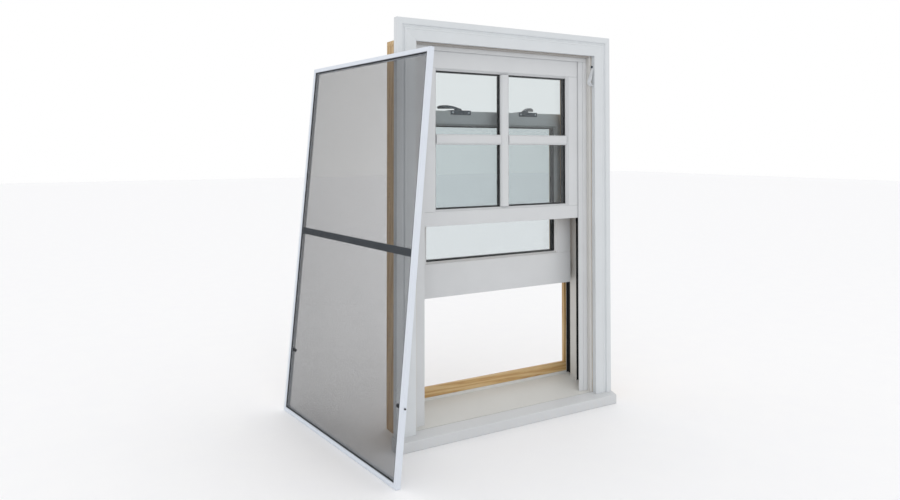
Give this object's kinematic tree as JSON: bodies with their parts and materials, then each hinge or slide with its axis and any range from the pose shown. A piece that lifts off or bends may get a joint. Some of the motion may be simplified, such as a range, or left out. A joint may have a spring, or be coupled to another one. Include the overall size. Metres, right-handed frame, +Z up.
{
  "type": "double-hung sash window",
  "caption": "Double-hung sash window with white exterior cladding, wooden interior, cam locks, a divided upper sash and a leaning insect screen.",
  "frame": {"origin": "underside of the sill nosing, below the casing's front face, on the window's centre line", "axes": "+X to the right seen from outside, -Y out of the building, +Z up"},
  "size_m": [0.7874, 0.5432, 0.9788],
  "materials": {
    "clad_white": "satin white cladding",
    "strip_grey": "warm grey",
    "vinyl_white": "white vinyl",
    "pine": "clear-finished softwood",
    "glass": "clear",
    "spacer_black": "black",
    "lock_grey": "dark grey",
    "steel": "plain",
    "guide_black": "black",
    "screen_white": "white paint",
    "bar_grey": "dark grey paint",
    "mesh_grey": "grey coated mesh",
    "spring_white": "white paint"
  },
  "bodies": {
    "frame": {"balance_inner_left": "steel", "balance_inner_right": "steel", "balance_outer_left": "steel", "balance_outer_right": "steel", "casing_head": "clad_white", "casing_left": "clad_white", "casing_right": "clad_white", "head_liner": "vinyl_white", "head_weatherstrip": "strip_grey", "inner_stop_head": "pine", "inner_stop_left": "pine", "inner_stop_right": "pine", "jamb_head": "pine", "jamb_left": "pine", "jamb_liner_left": "vinyl_white", "jamb_liner_right": "vinyl_white", "jamb_right": "pine", "leaf_spring": "spring_white", "outer_stop_head": "clad_white", "outer_stop_left": "clad_white", "outer_stop_right": "clad_white", "sill_cladding": "clad_white", "sill_core": "pine", "sill_nosing": "clad_white", "sill_stop": "pine"},
    "upper_sash": {"keeper_left": "lock_grey", "keeper_right": "lock_grey", "upper_cladding": "clad_white", "upper_grille_outer": "clad_white", "upper_guide_left": "guide_black", "upper_guide_right": "guide_black", "upper_meeting_rail": "pine", "upper_pane_inner": "glass", "upper_pane_outer": "glass", "upper_spacer": "spacer_black", "upper_stile_left": "pine", "upper_stile_right": "pine", "upper_top_rail": "pine"},
    "lower_sash": {"lock_base_left": "lock_grey", "lock_base_right": "lock_grey", "lower_bottom_rail": "pine", "lower_check_rail": "pine", "lower_cladding": "clad_white", "lower_guide_left": "guide_black", "lower_guide_right": "guide_black", "lower_pane_inner": "glass", "lower_pane_outer": "glass", "lower_spacer": "spacer_black", "lower_stile_left": "pine", "lower_stile_right": "pine"},
    "left_lever": {"lock_lever_left": "lock_grey"},
    "right_lever": {"lock_lever_right": "lock_grey"},
    "near_plunger": {"plunger_near": "guide_black"},
    "far_plunger": {"plunger_far": "guide_black"},
    "screen": {"screen_mesh": "mesh_grey", "screen_mid_bar": "bar_grey", "screen_rail_bottom": "screen_white", "screen_rail_top": "screen_white", "screen_stile_far": "screen_white", "screen_stile_near": "screen_white"}
  },
  "joints": [
    {"name": "upper_sash_slide", "type": "slide", "parent": "frame", "child": "upper_sash", "axis": [0, 0, 1], "range_m": [-0.44, 0]},
    {"name": "lower_sash_slide", "type": "slide", "parent": "frame", "child": "lower_sash", "axis": [0, 0, 1], "range_m": [-0.2646, 0.11]},
    {"name": "left_lock_turn", "type": "hinge", "parent": "lower_sash", "child": "left_lever", "pos_m": [-0.104, 0.0911, 0.775], "axis": [0, 0, -1], "range_deg": [0, 140]},
    {"name": "right_lock_turn", "type": "hinge", "parent": "lower_sash", "child": "right_lever", "pos_m": [0.104, 0.0911, 0.775], "axis": [0, 0, 1], "range_deg": [0, 140]},
    {"name": "screen_tip", "type": "hinge", "parent": "frame", "child": "screen", "pos_m": [-0.39675, -0.1554, 0.0011], "axis": [0.1252, -0.9921, 0], "range_deg": [0, 90]},
    {"name": "near_plunger_slide", "type": "slide", "parent": "screen", "child": "near_plunger", "axis": [-0.1252, 0.9921, 0], "range_m": [0, 0.008], "stiffness_N_per_m": 60, "springref_m": -0.008},
    {"name": "far_plunger_slide", "type": "slide", "parent": "screen", "child": "far_plunger", "axis": [0.1252, -0.9921, 0], "range_m": [0, 0.008], "stiffness_N_per_m": 60, "springref_m": -0.008}
  ]
}
